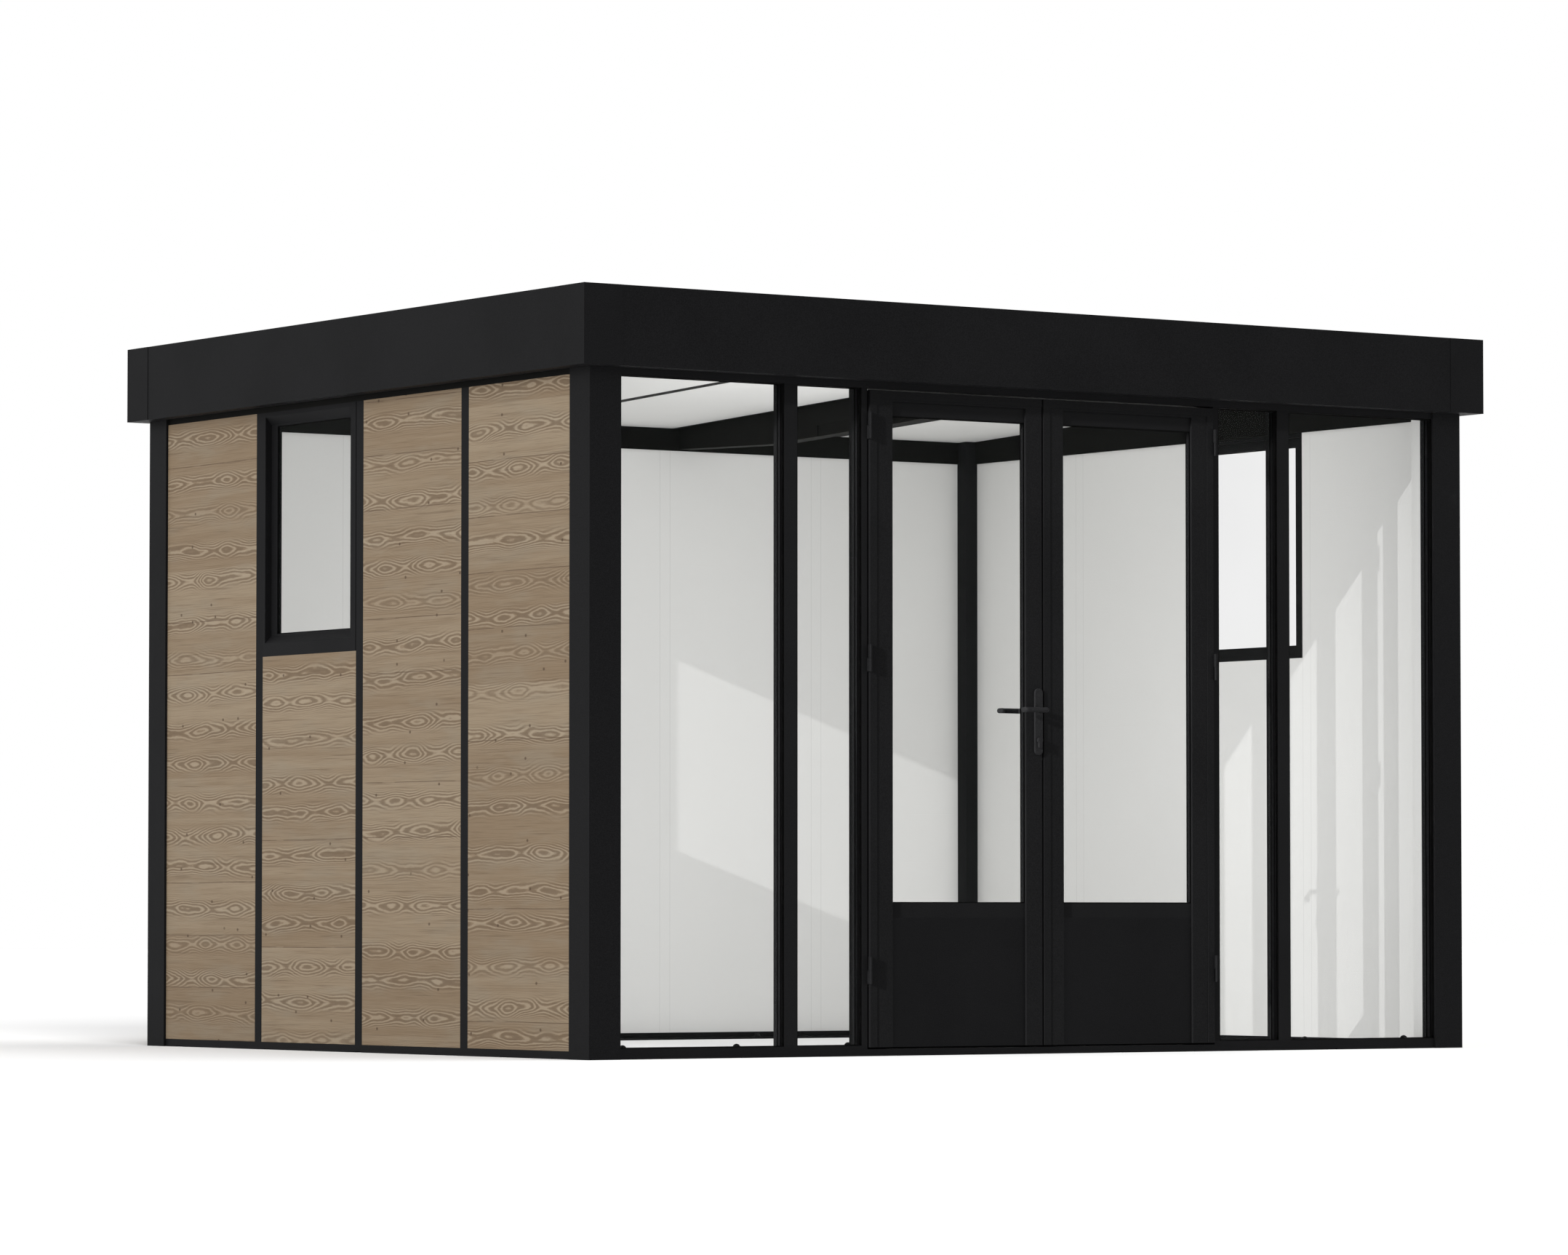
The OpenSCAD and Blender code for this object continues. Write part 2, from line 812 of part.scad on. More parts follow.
module fascia_corner_covers() {
    x = half_w + cover_reach;
    y = half_d + cover_reach;
    color(dark)
        for (side = [0, 1], end = [0, 1])
            mirror([side, 0, 0]) mirror([0, end, 0])
                translate([0, 0, fascia_z])
                    linear_extrude(fascia_h)
                        polygon([
                            [x, y], [x - cover_leg, y], [x - cover_leg, y - cover_t],
                            [x - cover_t, y - cover_t], [x - cover_t, y - cover_leg], [x, y - cover_leg]
                        ]);
}

base_rail_front();
base_rail_rear();
base_rail_left();
base_rail_right();
corner_post_front_left();
corner_post_front_right();
corner_post_rear_left();
corner_post_rear_right();
left_wall_panels();
left_wall_joints();
right_wall_panels();
right_wall_joints();
rear_wall_panels();
rear_wall_joints();
left_window_frame();
left_window_sash();
left_window_glass();
right_window_frame();
right_window_sash();
right_window_glass();
head_beam_front();
head_beam_rear();
head_beam_left();
head_beam_right();
front_mullions();
door_jamb_left();
door_jamb_right();
left_fixed_panes();
right_fixed_panes();
left_leaf();
left_leaf_glass();
left_leaf_panel();
left_leaf_hinges();
right_leaf();
right_leaf_glass();
right_leaf_panel();
right_leaf_hinges();
frame_hinges_left();
frame_hinges_right();
handle_plates();
door_lever();
roof_panels();
roof_joint_bars();
rafter();
fascia_front();
fascia_rear();
fascia_left();
fascia_right();
fascia_corner_covers();
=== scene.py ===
"""Garden office pod: finishes, small trim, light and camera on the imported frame."""
import collections
import json
import math
import bmesh
import bpy
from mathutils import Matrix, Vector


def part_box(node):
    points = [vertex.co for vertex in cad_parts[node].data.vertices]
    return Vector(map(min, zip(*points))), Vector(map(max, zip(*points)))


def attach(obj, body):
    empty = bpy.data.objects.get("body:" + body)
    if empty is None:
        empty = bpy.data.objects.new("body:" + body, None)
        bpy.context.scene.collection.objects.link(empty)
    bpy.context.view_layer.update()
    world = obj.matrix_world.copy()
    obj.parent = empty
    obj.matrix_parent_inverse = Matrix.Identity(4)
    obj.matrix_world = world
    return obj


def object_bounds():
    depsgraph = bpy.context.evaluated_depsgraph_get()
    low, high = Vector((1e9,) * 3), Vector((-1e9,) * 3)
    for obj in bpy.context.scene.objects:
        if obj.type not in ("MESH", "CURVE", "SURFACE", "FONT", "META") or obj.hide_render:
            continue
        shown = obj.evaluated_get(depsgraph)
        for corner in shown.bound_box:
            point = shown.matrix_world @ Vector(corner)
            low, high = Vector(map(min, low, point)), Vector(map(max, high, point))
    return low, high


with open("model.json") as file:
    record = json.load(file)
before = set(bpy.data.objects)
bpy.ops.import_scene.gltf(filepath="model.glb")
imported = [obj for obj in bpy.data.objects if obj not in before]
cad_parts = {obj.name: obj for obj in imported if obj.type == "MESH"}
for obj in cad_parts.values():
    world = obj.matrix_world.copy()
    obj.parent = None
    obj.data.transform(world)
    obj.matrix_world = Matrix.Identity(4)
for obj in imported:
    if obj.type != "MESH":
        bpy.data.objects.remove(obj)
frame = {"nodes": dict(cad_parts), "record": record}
cad_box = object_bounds()

Sun = collections.namedtuple("Sun", "direction strength angle")
RoomLight = collections.namedtuple("RoomLight", "power width place turn")
Wall = collections.namedtuple("Wall", "along start pitch joint_w face")

# Camera, from straight edges of the photograph
CAMERA_POS = (-11.9873, -17.5115, 0.4135)
CAMERA_YAW = 34.2574
CAMERA_PITCH = 2.5362
CAMERA_REACH = 500.0
SENSOR_W = 36.0
FOCAL_PX = 9025.87
PHOTO_W_PX = 2156

# Sun lamps, with their angular size in degrees: each lights only the pieces named where it is added
RIGHT_SUN = Sun((1.0, 0.366, -0.338), 0.66, 0.3)
REAR_SUN = RIGHT_SUN._replace(strength=1.2)
FRAME_SUN = Sun((1.0, 0.22, -0.3), 4.6, 2.0)
SIDE_LIGHT = Sun((1.0, 0.1, -0.35), 1.1, 50.0)
REAR_LIGHT = Sun((-0.62, -0.72, -0.35), 2.2, 50.0)
GROUND_LIGHT = Sun((0.40, 0.91, -0.42), 3.7, 22.0)
TOP_LIGHT = Sun((-0.3, 0.3, -1.0), 1.4, 34.0)

# Soft lamps in the room: one at the front faces the rear wall, the other faces the right wall
ROOM_LIGHT_H = 1.6
ROOM_LIGHT_Z = 0.92
FASCIA_TO_LIGHT = 0.16
ROOM_LIGHT = RoomLight(19.2, 2.3, (-0.45, cad_box[0][1] + FASCIA_TO_LIGHT, ROOM_LIGHT_Z), 0.0)
ROOM_FILL = RoomLight(14.4, 1.5, (-0.7, -0.8, ROOM_LIGHT_Z), -math.pi / 2)

# Sky and ground
SKY_STRENGTH = 0.46
FLOOR_REACH = 60.0
FLOOR_GLOW = 0.11
FLOOR_TONE = 0.72
FLOOR_BOUNCE = 0.58

# Finishes, as linear colours
BLACK = (0.0125, 0.0126, 0.0134)
# painted shade: the front members get the black coat a shade darker than elsewhere
SHADED_FRAME_BLACK = (0.0100, 0.0101, 0.0106)
# painted shade: the members inside the room get the black coat much darker than elsewhere
SHADED_INNER_BLACK = (0.0055, 0.0054, 0.0048)
HARDWARE_BLACK = (0.020, 0.020, 0.021)
# near-black rubber: partly its own colour, partly painted shade of the grooves beside the glass
RUBBER_BLACK_AND_GROOVE_SHADE = (0.0012, 0.0012, 0.0012)
RUBBER_WORN = (0.004, 0.004, 0.004)
WOOD_PALE = (0.363, 0.282, 0.192)
WOOD_TAN = (0.283, 0.206, 0.131)
WOOD_BROWN = (0.165, 0.113, 0.070)
WOOD_LINE = (0.466, 0.378, 0.273)
WOOD_GREY = (0.331, 0.285, 0.215)
WOOD_KNOT = (0.087, 0.052, 0.031)
WOOD_SEAM = (0.122, 0.079, 0.050)
INNER_WHITE = (0.86, 0.86, 0.845)
JOINT_EDGE = (0.3, 0.3, 0.29)
ROOF_MEMBRANE = (0.045, 0.046, 0.048)
GLASS_TINT = (0.02, 0.03, 0.025)

# Black coat
COAT_GLOSS = 0.03
COAT_GRAIN_RATE = 420.0
COAT_DARK = 0.72
COAT_LIGHT = 1.28
COAT_UNEVEN = 0.08
COAT_ROUGH = 0.5
HARDWARE_ROUGH = 0.36
INNER_ROUGH = 0.55
ROUGH_SPREAD = 0.07

# Usual range of a noise
NOISE_LOW = 0.3
NOISE_HIGH = 0.7

# Timber decor: lengths in metres, rates per metre, the rest as shares and offsets
BOARD_H = 0.168
BOARD_OFFSET = 0.3
SEAM_BEND = 0.012
ROW_H = 0.115
ROW_SHIFT = 60.0
HEART_LOW = 0.27
HEART_SPREAD = 0.25
HEART_SWAY = 0.2
HEART_SWAY_RATE = 2.2
HEART_ROUND_SQUARED = 0.00003
RING_PITCH = 0.0125
RING_SWAY = 0.125
RING_RAGGED = 0.008
RING_CROWDING = 9.0
EYE_RATE = 5.0
EYE_CROSS_RATE = 8.0
KNOT_RATE = 5.2
KNOT_RISE_RATE = KNOT_RATE * 1.25
PANEL_SHIFT = 2.7
SIDE_KEY = 17.0
ROW_DRAW = 3.0
SEAM_DRAW = 7.0
BOARD_DRAW = 11.0

# Walls: how many joints each has, and the axis that it runs along
SIDE_JOINTS = 3
REAR_JOINTS = 4
ALONG_X = 0
ALONG_Y = 1

# Trim sizes
GASKET_W = 0.003
GASKET_T = 0.002
GASKET_TAPER = 0.7
SEAL_T = 0.002
SEAL_SET = 0.001
SEAL_DEPTH = 0.012
ANCHOR_HEAD_R = 0.012
ANCHOR_HEAD_H = 0.035
ANCHOR_AXIS_R = 0.0005
DOME_ANGLES = (0.5, 20, 40, 60, 78, 88)
DOME_STEPS = 20

# Groups of nodes
SIDES = ("left", "right")
FRONT_MEMBERS = (
    "front_mullions", "door_jamb_left", "door_jamb_right", "left_leaf", "right_leaf",
    "left_leaf_hinges", "right_leaf_hinges", "frame_hinges_left", "frame_hinges_right",
    "handle_plates", "door_lever")
INNER_MEMBERS = ("rafter", "head_beam_left", "head_beam_right", "head_beam_rear", "roof_joint_bars")


# Shader graphs

class Graph:
    """A node tree under construction, of a material or of the world."""

    def __init__(self, owner):
        owner.use_nodes = True
        self.owner = owner
        self.tree = owner.node_tree
        self.tree.nodes.clear()

    def node(self, kind, inputs=None, **settings):
        made = self.tree.nodes.new(kind)
        for key, value in settings.items():
            setattr(made, key, value)
        for key, value in (inputs or {}).items():
            self.feed(made.inputs[key], value)
        return made

    def feed(self, socket, value):
        if isinstance(value, bpy.types.NodeSocket):
            self.tree.links.new(value, socket)
        elif isinstance(value, tuple) and len(value) == 3 and socket.type == "RGBA":
            socket.default_value = (*value, 1.0)
        else:
            socket.default_value = value

    def math(self, operation, a, b=0.0):
        return self.node("ShaderNodeMath", {0: a, 1: b}, operation=operation).outputs[0]

    def add(self, a, b):
        return self.math("ADD", a, b)

    def subtract(self, a, b):
        return self.math("SUBTRACT", a, b)

    def times(self, a, b):
        return self.math("MULTIPLY", a, b)

    def object_coords(self):
        return self.node("ShaderNodeTexCoord").outputs["Object"]

    def axes(self, vector):
        return tuple(self.node("ShaderNodeSeparateXYZ", {0: vector}).outputs)

    def vector(self, x, y, z):
        return self.node("ShaderNodeCombineXYZ", {0: x, 1: y, 2: z}).outputs[0]

    def channels(self, colour):
        return tuple(self.node("ShaderNodeSeparateColor", {0: colour}).outputs)

    def noise(self, vector, scale, detail, roughness=0.5):
        made = self.node("ShaderNodeTexNoise", {
            "Vector": vector, "Scale": scale, "Detail": detail, "Roughness": roughness})
        return made.outputs["Fac"]

    def draw(self, x, y, z):
        """Random value and colour, the same for the same three numbers."""
        place = self.vector(x, y, z)
        return self.node("ShaderNodeTexWhiteNoise", {"Vector": place}, noise_dimensions="3D").outputs

    def ramp(self, value, low, high, to_low=0.0, to_high=1.0):
        made = self.node("ShaderNodeMapRange", {
            "Value": value, "From Min": low, "From Max": high,
            "To Min": to_low, "To Max": to_high}, interpolation_type="SMOOTHSTEP")
        return made.outputs[0]

    def spread(self, noise, to_low=0.0, to_high=1.0):
        """Carry the usual range of a noise over to another range."""
        return self.ramp(noise, NOISE_LOW, NOISE_HIGH, to_low, to_high)

    def mix(self, factor, a, b, blend="MIX"):
        inputs = {0: factor, 6: a, 7: b}
        return self.node("ShaderNodeMix", inputs, data_type="RGBA", blend_type=blend).outputs[2]

    def bump(self, height, strength, distance):
        inputs = {"Height": height, "Strength": strength, "Distance": distance}
        return self.node("ShaderNodeBump", inputs).outputs[0]

    def seen_directly(self):
        """1 for what the camera sees, also mirrored or through glass, and 0 for light that bounces."""
        path = self.node("ShaderNodeLightPath").outputs
        indirect = self.math("MAXIMUM", path["Is Glossy Ray"], path["Is Transmission Ray"])
        return self.math("MAXIMUM", path["Is Camera Ray"], indirect)

    def surface(self, **inputs):
        """Principled surface: an underscore stands for each space in the name of an input."""
        named = {key.replace("_", " "): value for key, value in inputs.items()}
        return self.finish(self.node("ShaderNodeBsdfPrincipled", named))

    def finish(self, shader, output="ShaderNodeOutputMaterial"):
        self.node(output, {0: shader.outputs[0]})
        return self.owner


def other_axis(along):
    return ALONG_Y if along == ALONG_X else ALONG_X


class WallGraph(Graph):
    """Material of one wall, with places along the wall, across it and up it."""

    def __init__(self, name, wall):
        super().__init__(bpy.data.materials.new(name))
        self.coords = self.object_coords()
        axes = self.axes(self.coords)
        self.u = axes[wall.along]
        self.across = axes[other_axis(wall.along)]
        self.z = axes[2]
        self.panel_place = self.math("DIVIDE", self.subtract(self.u, wall.start), wall.pitch)
        self.outside = self.math("GREATER_THAN", self.math("ABSOLUTE", self.across), wall.face)

    def stretched(self, key, along, upward, detail, roughness=0.5):
        """Noise drawn out along the boards, with its rates along and up the wall."""
        place = self.vector(self.times(self.u, along), self.times(self.z, upward), key)
        return self.noise(place, 1.0, detail, roughness)


def material_graph(name):
    return Graph(bpy.data.materials.new(name))


def shade(colour, factor):
    return tuple(channel * factor for channel in colour)


def coat_grain(g, coords):
    return g.noise(coords, COAT_GRAIN_RATE, 2.0, 0.6)


def coat_surface(g, colour, grain, rough_low, rough_high):
    return g.surface(
        Base_Color=colour, Roughness=g.spread(grain, rough_low, rough_high),
        Specular_IOR_Level=COAT_GLOSS, Normal=g.bump(grain, 0.25, 0.0005))


def black_coat(g, grain):
    """Colour of the black coat where it shares a material with the white lining."""
    return g.mix(g.spread(grain), shade(BLACK, COAT_DARK), shade(BLACK, COAT_LIGHT))


def inner_white(g, coords):
    """Colour of the smooth white lining."""
    speck = g.noise(coords, 160.0, 2.0)
    return g.mix(speck, INNER_WHITE, shade(INNER_WHITE, 0.965))


def powder_coat(name, colour, roughness):
    """Fine-grained matt coat with a faint unevenness."""
    g = material_graph(name)
    coords = g.object_coords()
    grain = coat_grain(g, coords)
    cloud = g.noise(coords, 3.0, 3.0, 0.55)
    tone = g.add(g.spread(grain, COAT_DARK, COAT_LIGHT), g.spread(cloud, -COAT_UNEVEN, COAT_UNEVEN))
    grey = g.node("ShaderNodeCombineColor", {0: tone, 1: tone, 2: tone}).outputs[0]
    base = g.mix(1.0, colour, grey, "MULTIPLY")
    return coat_surface(g, base, grain, roughness - ROUGH_SPREAD, roughness + ROUGH_SPREAD)


def lined_post(name, lining_x, frame_back, top):
    """Black coat, with the white lining carried over the room side behind the glazed frame."""
    g = material_graph(name)
    coords = g.object_coords()
    x, y, z = g.axes(coords)
    grain = coat_grain(g, coords)
    inside = g.math("LESS_THAN", g.math("ABSOLUTE", x), lining_x)
    behind = g.times(g.math("GREATER_THAN", y, frame_back), g.math("LESS_THAN", z, top))
    base = g.mix(g.times(inside, behind), black_coat(g, grain), inner_white(g, coords))
    return coat_surface(g, base, grain, COAT_ROUGH - ROUGH_SPREAD, COAT_ROUGH + ROUGH_SPREAD)


def rubber():
    """Dull black rubber, a little worn, painted near-black so that it also carries the shade of the grooves
    by the glass.
    """
    g = material_graph("gasket_rubber_and_groove_shade")
    grain = g.noise(g.object_coords(), 260.0, 2.0)
    return g.surface(
        Base_Color=g.mix(grain, RUBBER_BLACK_AND_GROOVE_SHADE, RUBBER_WORN),
        Roughness=g.spread(grain, 0.6, 0.8), Specular_IOR_Level=COAT_GLOSS)


def clear_glass():
    """Clear glass with a faint film, open to light."""
    g = material_graph("clear_glass")
    film = g.noise(g.object_coords(), 1.5, 2.0)
    return g.surface(
        Base_Color=g.mix(film, GLASS_TINT, shade(GLASS_TINT, 0.8)), Roughness=0.02,
        Specular_IOR_Level=0.5, Alpha=g.spread(film, 0.035, 0.045))


def joint_profile(name, wall):
    """Black cover outside, white cover with fine edges inside."""
    g = WallGraph(name, wall)
    grain = coat_grain(g, g.coords)
    to_panel = g.times(g.subtract(1.0, g.math("FRACT", g.panel_place)), wall.pitch)
    to_edge = g.math("MINIMUM", to_panel, g.subtract(wall.joint_w, to_panel))
    white = g.mix(g.ramp(to_edge, 0.001, 0.0025, 0.22, 0.0), inner_white(g, g.coords), JOINT_EDGE)
    return coat_surface(g, g.mix(g.outside, white, black_coat(g, grain)), grain, 0.45, 0.58)


def wood_figure(g, key, height):
    """Masks of grain lines, and of the pale threads and dark rings of long pointed eyes.

    The figure lies in rows. In each, the rings close into eyes round a heart line that sways.
    """
    rise = g.math("DIVIDE", height, ROW_H)
    row_draw = g.draw(g.math("FLOOR", rise), key, ROW_DRAW)["Color"]
    heart_value, shift_value, ring_value = g.channels(row_draw)
    shift = g.times(shift_value, ROW_SHIFT)
    sway = g.noise(g.vector(g.times(g.u, HEART_SWAY_RATE), shift, key), 1.0, 1.0)
    heart = g.add(g.times(heart_value, HEART_SPREAD), g.times(sway, HEART_SWAY))
    heart = g.add(heart, HEART_LOW)
    off = g.times(g.subtract(g.math("FRACT", rise), heart), ROW_H)
    far = g.math("SQRT", g.add(g.times(off, off), HEART_ROUND_SQUARED))

    wave_place = g.vector(g.add(g.times(g.u, EYE_RATE), shift), g.times(off, EYE_CROSS_RATE), shift)
    field = g.add(far, g.times(g.noise(wave_place, 1.0, 0.7, 0.4), RING_SWAY))
    field = g.add(field, g.times(g.stretched(key, 22.0, 70.0, 2.0), RING_RAGGED))
    field = g.add(field, g.times(g.times(far, far), RING_CROWDING))
    phase = g.math("FRACT", g.add(g.math("DIVIDE", field, RING_PITCH), ring_value))
    late = g.math("ABSOLUTE", g.subtract(phase, 0.5))

    eyes = g.times(g.ramp(far, 0.016, 0.034, 1.0, 0.0), g.ramp(ring_value, 0.05, 0.25, 0.6, 1.0))
    lines = g.times(g.ramp(late, 0.3, 0.48), g.ramp(far, 0.02, 0.06, 0.55, 0.16))
    threads = g.times(g.ramp(late, 0.1, 0.19, 1.0, 0.0), eyes)
    rings = g.times(g.ramp(late, 0.22, 0.3), eyes)
    return lines, threads, rings


def wood_boards(g, key, height):
    """Mask of the seams between boards, some of them missing, and a random value for each board."""
    bend = g.times(g.subtract(g.noise(g.vector(g.u, 0.0, key), 1.4, 2.0), 0.5), SEAM_BEND)
    lift = g.add(g.math("DIVIDE", g.add(height, bend), BOARD_H), BOARD_OFFSET)
    nearest = g.math("ROUND", lift)
    seam_value = g.draw(nearest, key, SEAM_DRAW)["Value"]
    board_value = g.draw(g.math("FLOOR", lift), key, BOARD_DRAW)["Value"]
    gap = g.times(g.math("ABSOLUTE", g.subtract(lift, nearest)), BOARD_H)
    broken = g.ramp(g.noise(g.vector(g.u, 3.0, key), 9.0, 2.0), 0.36, 0.5, 0.25, 0.8)
    seams = g.times(g.ramp(gap, 0.0005, 0.002, 1.0, 0.0), g.ramp(seam_value, 0.35, 0.4))
    return g.times(seams, broken), board_value


def wood_knots(g, key):
    """Mask of small round knots, in some of the cells that cover the wall."""
    place = g.vector(g.times(g.u, KNOT_RATE), g.times(g.z, KNOT_RISE_RATE), key)
    cells = g.node("ShaderNodeTexVoronoi", {"Vector": place, "Scale": 1.0}, voronoi_dimensions="2D").outputs
    chance = g.channels(cells["Color"])[0]
    return g.times(g.ramp(cells["Distance"], 0.018, 0.04, 1.0, 0.0), g.ramp(chance, 0.35, 0.4))


def timber_panel(name, wall):
    """Timber decor in horizontal boards outside, smooth white inside."""
    g = WallGraph(name, wall)
    key = g.add(g.times(g.math("SIGN", g.across), SIDE_KEY), g.math("FLOOR", g.panel_place))
    panel_value = g.node("ShaderNodeTexWhiteNoise", {"W": key}, noise_dimensions="1D").outputs["Value"]
    height = g.add(g.z, g.times(panel_value, PANEL_SHIFT))
    lines, threads, rings = wood_figure(g, key, height)
    seams, board_value = wood_boards(g, key, height)
    fibre = g.stretched(key, 5.0, 260.0, 3.0, 0.6)
    streak = g.stretched(key, 0.8, 34.0, 4.0, 0.6)
    haze = g.stretched(key, 2.5, 11.0, 3.0, 0.6)
    dash = g.stretched(key, 3.0, 120.0, 2.0)

    tone = g.add(g.times(streak, 0.9), g.times(board_value, 0.6))
    colour = g.mix(g.ramp(tone, 0.42, 0.92), WOOD_PALE, WOOD_TAN)
    stains = (
        (g.ramp(haze, 0.45, 0.7, 0.0, 0.4), WOOD_GREY),
        (g.ramp(dash, 0.6, 0.72, 0.0, 0.5), WOOD_BROWN),
        (g.ramp(fibre, 0.42, 0.75, 0.0, 0.4), WOOD_BROWN),
        (g.times(lines, 0.55), WOOD_BROWN),
        (g.times(threads, 0.52), WOOD_LINE),
        (g.times(rings, 0.54), WOOD_BROWN),
        (seams, WOOD_SEAM),
        (g.times(wood_knots(g, key), 0.75), WOOD_KNOT))
    for mask, stain in stains:
        colour = g.mix(mask, colour, stain)

    relief = g.subtract(g.times(fibre, 0.6), seams)
    return g.surface(
        Base_Color=g.mix(g.outside, inner_white(g, g.coords), colour),
        Roughness=g.spread(fibre, 0.52, 0.66), Specular_IOR_Level=0.15,
        Normal=g.bump(relief, 0.18, 0.0006))


def roof_panel():
    """White lining below, dark sheet membrane above."""
    g = material_graph("roof_panel")
    coords = g.object_coords()
    weave = g.noise(coords, 90.0, 3.0)
    cloud = g.noise(coords, 1.6, 4.0)
    blend = g.add(g.times(weave, 0.5), g.times(cloud, 0.5))
    sheet = g.mix(blend, ROOF_MEMBRANE, shade(ROOF_MEMBRANE, 1.5))
    normal = g.axes(g.node("ShaderNodeNewGeometry").outputs["True Normal"])
    upward = g.math("GREATER_THAN", normal[2], 0.5)
    return g.surface(
        Base_Color=g.mix(upward, inner_white(g, coords), sheet), Roughness=g.spread(weave, 0.55, 0.75),
        Specular_IOR_Level=0.3, Normal=g.bump(weave, 0.1, 0.0006))


# Meshes

def mesh_piece(name, verts, faces, material, body="shell", smooth=False):
    """Add one piece of trim, which rides a body."""
    mesh = bpy.data.meshes.new(name)
    mesh.from_pydata(verts, [], faces)
    bm = bmesh.new()
    bm.from_mesh(mesh)
    bmesh.ops.recalc_face_normals(bm, faces=bm.faces)
    bm.to_mesh(mesh)
    bm.free()
    for polygon in mesh.polygons:
        polygon.use_smooth = smooth
    piece = bpy.data.objects.new(name, mesh)
    bpy.context.scene.collection.objects.link(piece)
    piece.data.materials.append(material)
    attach(piece, body)


def swept_ring(rects, profile, place):
    """Mitred rings round rectangles: profile holds (inset, depth) points of a closed section."""
    verts, faces = [], []
    count = len(profile)
    for a0, a1, b0, b1 in rects:
        first = len(verts)
        corners = ((a0, b0, 1, 1), (a1, b0, -1, 1), (a1, b1, -1, -1), (a0, b1, 1, -1))
        for a, b, sa, sb in corners:
            for inset, depth in profile:
                verts.append(place(a + sa * inset, b + sb * inset, depth))
        for c in range(4):
            for p in range(count):
                here = first + c * count
                there = first + (c + 1) % 4 * count
                q = (p + 1) % count
                faces.append((here + p, here + q, there + q, there + p))
    return verts, faces


def facing_front(a, b, depth):
    return (a, depth, b)


def facing_side(a, b, depth):
    return (depth, a, b)


def revolved(centres, profile, steps):
    """Upright turned bodies: profile holds (radius, height) points from the axis out and back to it."""
    verts, faces = [], []
    for x, y, z in centres:
        first = len(verts)
        for radius, height in profile:
            for s in range(steps):
                angle = 2 * math.pi * s / steps
                verts.append((x + radius * math.cos(angle), y + radius * math.sin(angle), z + height))
        for ring in range(len(profile) - 1):
            for s in range(steps):
                t = (s + 1) % steps
                low, high = first + ring * steps, first + (ring + 1) * steps
                faces.append((low + s, low + t, high + t, high + s))
        last = first + (len(profile) - 1) * steps
        faces.append(tuple(last + s for s in range(steps)))
        faces.append(tuple(first + s for s in reversed(range(steps))))
    return verts, faces


# Finishes on the carried-over nodes

def wall_layout(wall, along, joint_count):
    """Where a wall's panels start, their pitch, the width of its joints and the depth of its middle."""
    low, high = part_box(wall + "_panels")
    joints_low, joints_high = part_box(wall + "_joints")
    joints_span = joints_high[along] - joints_low[along]
    pitch = (high[along] - low[along] + joints_span) / (2 * joint_count)
    joint_w = joints_span - (joint_count - 1) * pitch
    across = other_axis(along)
    return Wall(along, low[along], pitch, joint_w, abs(low[across] + high[across]) / 2)


side_wall = wall_layout("left_wall", ALONG_Y, SIDE_JOINTS)
rear_wall = wall_layout("rear_wall", ALONG_X, REAR_JOINTS)
panels_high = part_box("left_wall_panels")[1]
frame_low, frame_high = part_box("front_mullions")

black = powder_coat("black_powder_coat", BLACK, COAT_ROUGH)
satin = powder_coat("black_hardware", HARDWARE_BLACK, HARDWARE_ROUGH)
# the black coat with painted shade, for the front members
shaded_frame_black = powder_coat("shaded_frame_black", SHADED_FRAME_BLACK, COAT_ROUGH)
# the black coat with deep painted shade, for the members inside the room
shaded_inner_black = powder_coat("shaded_inner_black", SHADED_INNER_BLACK, INNER_ROUGH)
gasket = rubber()
glass = clear_glass()
side_timber = timber_panel("side_timber_decor", side_wall)
rear_timber = timber_panel("rear_timber_decor", rear_wall)
side_joint = joint_profile("side_joint_profile", side_wall)
rear_joint = joint_profile("rear_joint_profile", rear_wall)
ceiling = roof_panel()
front_post = lined_post("front_post", abs(panels_high[0]), frame_high[1], panels_high[2])


def finish_of(node):
    if node in ("left_wall_panels", "right_wall_panels"):
        return side_timber
    if node == "rear_wall_panels":
        return rear_timber
    if node in ("left_wall_joints", "right_wall_joints"):
        return side_joint
    if node == "rear_wall_joints":
        return rear_joint
    if node == "roof_panels":
        return ceiling
    if node.endswith(("glass", "panes")):
        return glass
    if node in ("handle_plates", "door_lever"):
        return satin
    if node.startswith("corner_post_front"):
        return front_post
    # front members: the black coat with painted shade, darker than elsewhere
    if node in FRONT_MEMBERS:
        return shaded_frame_black
    # members inside the room: the black coat with painted shade
    if node in INNER_MEMBERS:
        return shaded_inner_black
    return black


for node, obj in frame["nodes"].items():
    obj.data.materials.clear()
    obj.data.materials.append(finish_of(node))

# Gaskets and seals round the glass: the seals stand where the groove by the front face lies in shade, and
# their near-black rubber carries that painted shade

def gasket_profile(depth, outward):
    """Section of a gasket that stands on the glass at a depth and tapers away from it."""
    crest = depth + outward * GASKET_T
    return [(0.0, depth), (GASKET_W, depth), (GASKET_W * GASKET_TAPER, crest), (0.0, crest)]


def fixed_pane_rects(low_z, high_z):
    """The four fixed panes, as x and z ranges."""
    panes = frame["nodes"]["right_fixed_panes"]
    edges = sorted({round((panes.matrix_world @ v.co).x, 4) for v in panes.data.vertices})
    right = [(edges[0], edges[1], low_z, high_z), (edges[2], edges[3], low_z, high_z)]
    left = [(-b, -a, low, high) for a, b, low, high in right]
    return left + right


panes_low, panes_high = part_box("left_fixed_panes")
pane_rects = fixed_pane_rects(panes_low[2], panes_high[2])
for label, depth, outward in (("outer", panes_low[1], -1), ("inner", panes_high[1], 1)):
    verts, faces = swept_ring(pane_rects, gasket_profile(depth, outward), facing_front)
    mesh_piece("fixed_pane_gaskets_" + label, verts, faces, gasket)

